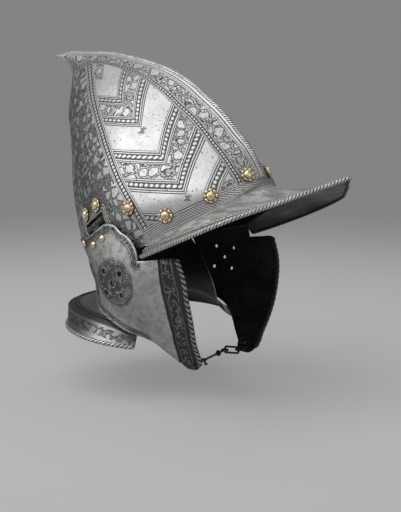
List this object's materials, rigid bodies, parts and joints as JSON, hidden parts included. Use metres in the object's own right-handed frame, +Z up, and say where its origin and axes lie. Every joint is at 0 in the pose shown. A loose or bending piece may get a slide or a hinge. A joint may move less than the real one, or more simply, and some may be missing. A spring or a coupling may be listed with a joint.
{
  "type": "burgonet",
  "caption": "Open-faced steel helmet with a keeled skull drawn back to a short stalk, pointed brim, flared neck guard and hinged cheekpieces joined by a chin hook",
  "frame": {"origin": "where the crown of the head bears inside the skull, on the middle plane", "axes": "+Z up, the wearer looks along -Y, +X is the wearer's left"},
  "size_m": [0.2082, 0.3714, 0.3042],
  "materials": {
    "etched_steel": "patinated steel, etched bands with bright motifs on a dark ground and polished plain panels",
    "dark_steel": "darkened iron",
    "gilt": "worn pale gilding",
    "leather": "old dark leather"
  },
  "bodies": {
    "helmet": {"skull": "etched_steel", "neck_guard": "etched_steel", "lining_band": "leather", "right_lining_rosette_1": "gilt", "right_lining_rosette_2": "gilt", "right_lining_rosette_3": "gilt", "right_lining_rosette_4": "gilt", "left_lining_rosette_1": "gilt", "left_lining_rosette_2": "gilt", "left_lining_rosette_3": "gilt", "left_lining_rosette_4": "gilt", "right_hinge_rosette_1": "gilt", "right_hinge_rosette_2": "gilt", "left_hinge_rosette_1": "gilt", "left_hinge_rosette_2": "gilt", "right_nape_rivet": "gilt", "left_nape_rivet": "gilt", "right_hinge_skull_leaf": "dark_steel", "left_hinge_skull_leaf": "dark_steel", "right_hinge_pin": "dark_steel", "left_hinge_pin": "dark_steel"},
    "right_cheek": {"right_cheekpiece": "etched_steel", "right_hinge_cheek_leaf": "dark_steel", "right_cheek_rivet_1": "gilt", "right_cheek_rivet_2": "gilt", "right_chin_eye": "dark_steel"},
    "left_cheek": {"left_cheekpiece": "etched_steel", "left_hinge_cheek_leaf": "dark_steel", "left_cheek_rivet_1": "gilt", "left_cheek_rivet_2": "gilt", "left_chin_disc": "dark_steel", "left_chin_rivet": "dark_steel"},
    "link": {"chin_link": "dark_steel"},
    "hook": {"chin_hook": "dark_steel"}
  },
  "joints": [
    {"name": "right_cheek_hinge", "type": "hinge", "parent": "helmet", "child": "right_cheek", "pos_m": [-0.07852, 0.03502, -0.1045], "axis": [0.2936, 0.8194, -0.4923], "range_deg": [0, 70]},
    {"name": "left_cheek_hinge", "type": "hinge", "parent": "helmet", "child": "left_cheek", "pos_m": [0.07852, 0.03502, -0.1045], "axis": [0.2936, -0.8194, 0.4923], "range_deg": [0, 70]},
    {"name": "chin_link_swing", "type": "hinge", "parent": "left_cheek", "child": "link", "pos_m": [0.03536, -0.05383, -0.23989], "axis": [0.1766, -0.9843, 0], "range_deg": [0, 90]},
    {"name": "chin_hook_swing", "type": "hinge", "parent": "link", "child": "hook", "pos_m": [0.0099, -0.0584, -0.2332], "axis": [0.1766, -0.9843, 0], "range_deg": [-30, 60]}
  ]
}
